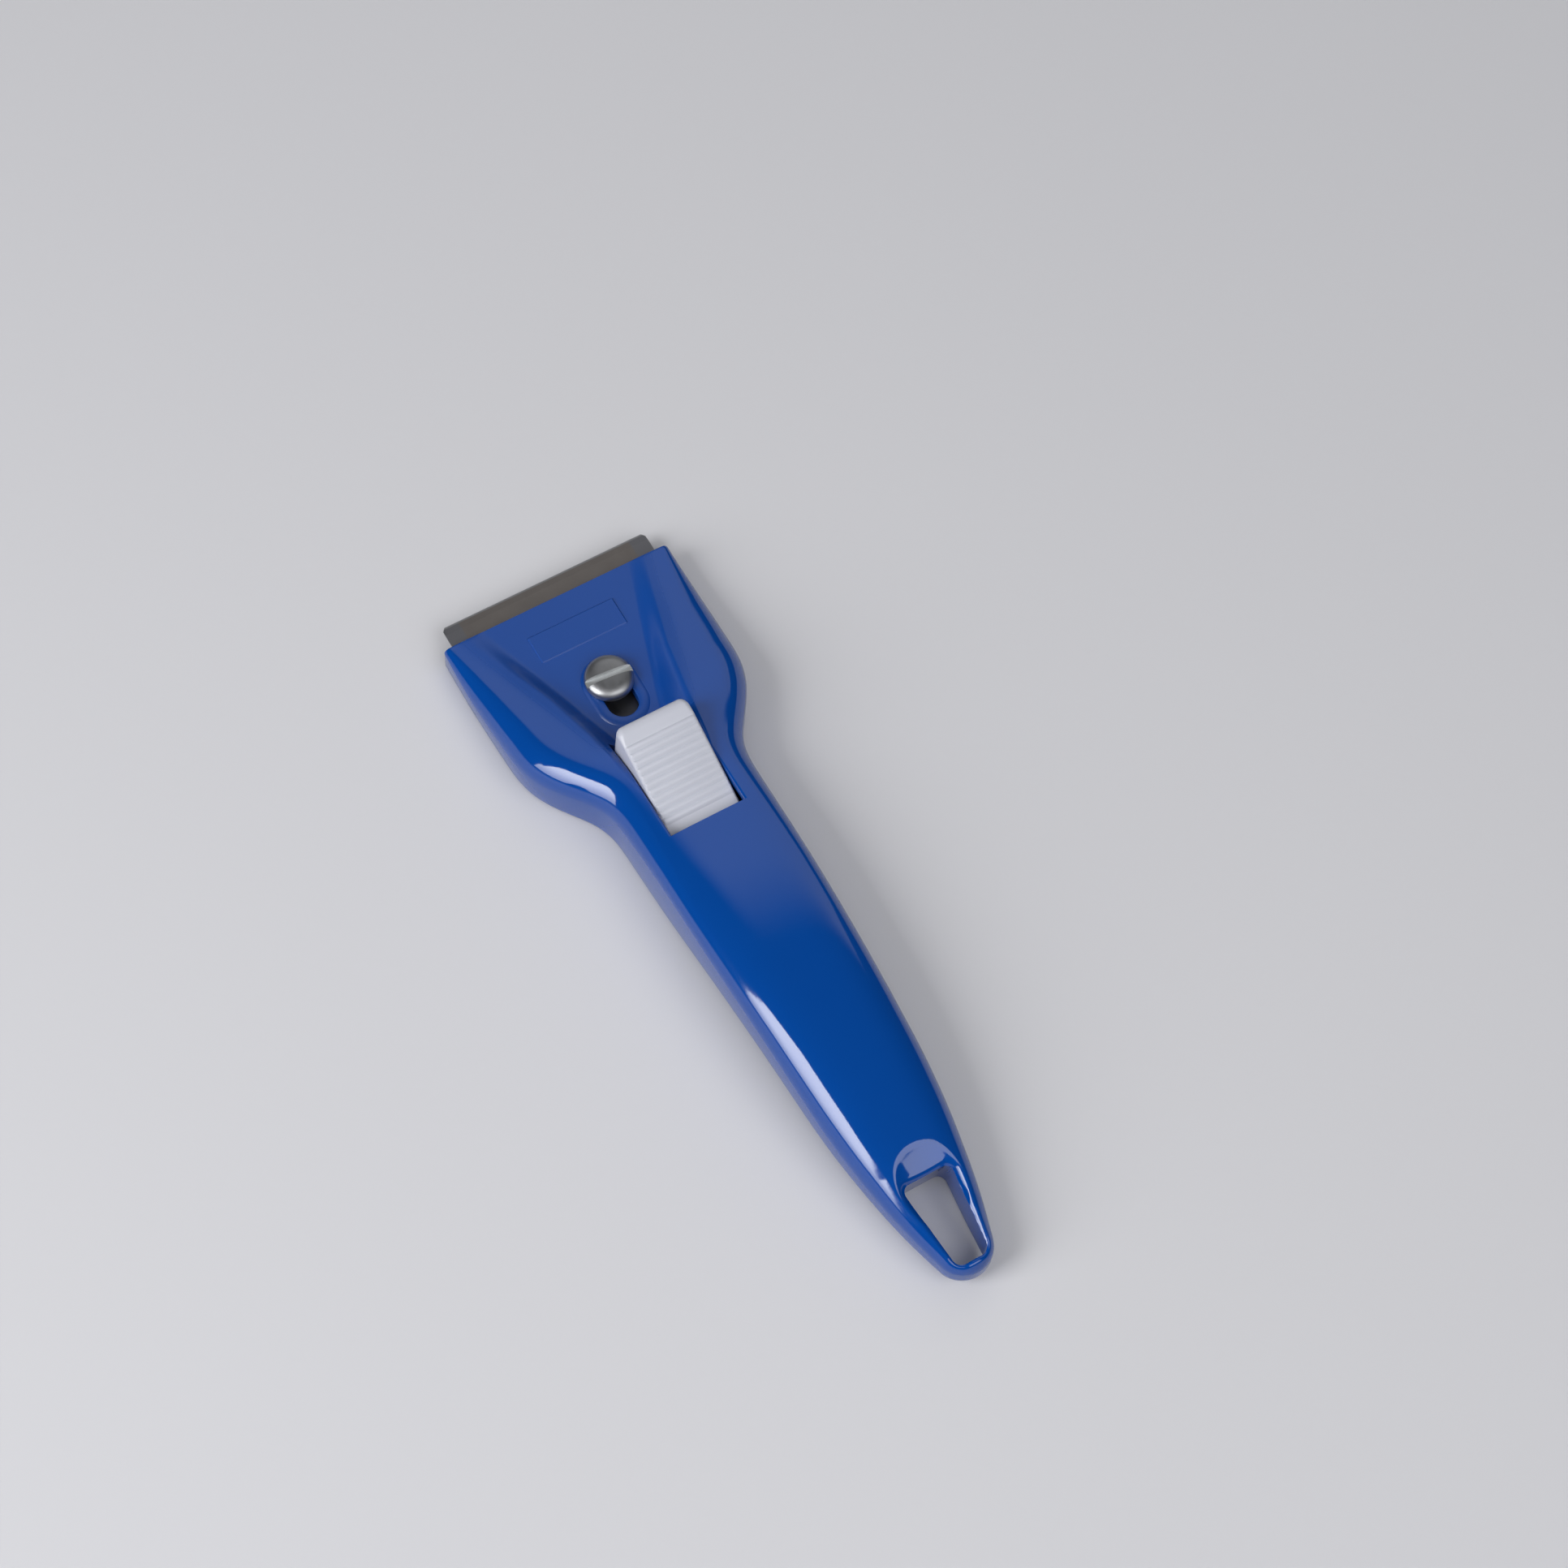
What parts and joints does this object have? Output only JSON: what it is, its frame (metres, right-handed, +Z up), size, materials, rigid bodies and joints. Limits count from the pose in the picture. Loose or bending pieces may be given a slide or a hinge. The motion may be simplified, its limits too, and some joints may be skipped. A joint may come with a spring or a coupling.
{
  "type": "ceramic hob scraper",
  "caption": "Hand scraper with a flat winged head, a blade that slides out under a ribbed thumb button, a clamp screw, and a bowed handle with a hang hole.",
  "frame": {"origin": "middle of the tool's outline seen from above, on the surface that it lies on", "axes": "+X from the tail towards the blade's edge, +Y to the left, +Z up from the base to the thumb button"},
  "size_m": [0.156, 0.0478, 0.0194],
  "materials": {
    "blue_plastic": "glossy moulded blue plastic",
    "cover_plastic": "satin moulded blue plastic",
    "white_plastic": "satin moulded white plastic",
    "blade_steel": "oiled grey-brown steel with a ground edge",
    "dark_steel": "dark pressed steel",
    "zinc_steel": "zinc-plated steel"
  },
  "bodies": {
    "handle": {"handle_shell": "blue_plastic", "base_cover": "cover_plastic", "cover_screws": "zinc_steel"},
    "slide": {"thumb_slide": "white_plastic", "blade_carrier": "dark_steel", "blade_rivets": "zinc_steel", "scraper_blade": "blade_steel", "clamp_nut": "zinc_steel"},
    "screw": {"clamp_screw": "zinc_steel"}
  },
  "joints": [
    {"name": "blade_slide", "type": "slide", "parent": "handle", "child": "slide", "axis": [1, 0, 0], "range_m": [-0.0052, 0]},
    {"name": "clamp_screw_turn", "type": "hinge", "parent": "slide", "child": "screw", "pos_m": [0.0525, 0, 0.0068], "axis": [0, 0, 1], "range_deg": [0, 360]}
  ]
}
